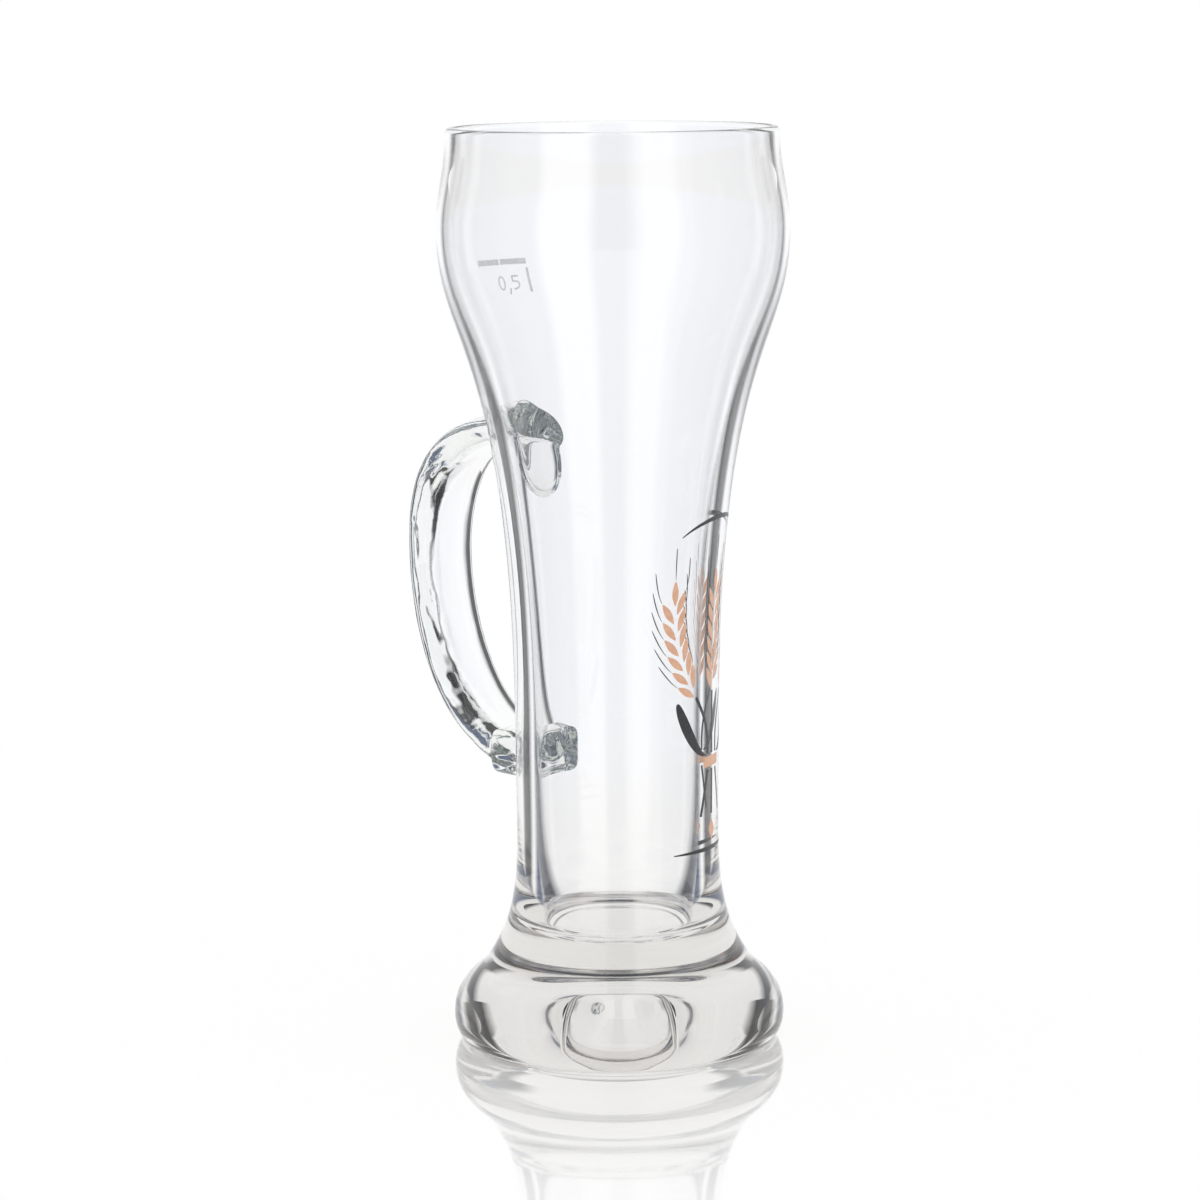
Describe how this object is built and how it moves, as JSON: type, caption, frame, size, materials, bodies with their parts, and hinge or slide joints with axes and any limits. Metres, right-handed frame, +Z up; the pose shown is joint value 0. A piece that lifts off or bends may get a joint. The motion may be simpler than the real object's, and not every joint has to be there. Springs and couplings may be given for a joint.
{
  "type": "glass beer mug",
  "caption": "Tall waisted half-litre wheat beer glass with a heavy flared foot, a fused strap handle, a fired fill mark and a fired barley ornament.",
  "frame": {"origin": "middle of the box that the mug fills, on the table plane; the vessel's axis stands 13.9 mm from it along +X", "axes": "+Z up along the vessel's axis, the handle points along -X"},
  "size_m": [0.1264, 0.0986, 0.2588],
  "materials": {
    "clear_glass": "fire-polished clear soda-lime glass",
    "handle_glass": "drawn clear glass, softly streaked",
    "grey_enamel": "fired pale grey enamel, satin",
    "black_enamel": "fired black enamel, semi-gloss",
    "copper_lustre": "fired copper lustre"
  },
  "bodies": {
    "root": {"glass_body": "clear_glass", "handle": "handle_glass", "fill_line_left": "grey_enamel", "fill_line_right": "grey_enamel", "fill_digit_0": "grey_enamel", "fill_comma": "grey_enamel", "fill_digit_5": "grey_enamel", "fill_letter_l": "grey_enamel", "sheaf_tie": "copper_lustre", "straw_left": "black_enamel", "straw_middle": "black_enamel", "straw_right": "black_enamel", "stalk_left": "black_enamel", "stalk_middle": "black_enamel", "stalk_right": "black_enamel", "ear_left": "copper_lustre", "ear_middle": "copper_lustre", "ear_right": "copper_lustre", "leaf_left": "black_enamel", "leaf_right": "black_enamel", "arch_rule": "black_enamel", "foot_rule": "black_enamel", "lozenge": "copper_lustre"}
  },
  "joints": []
}
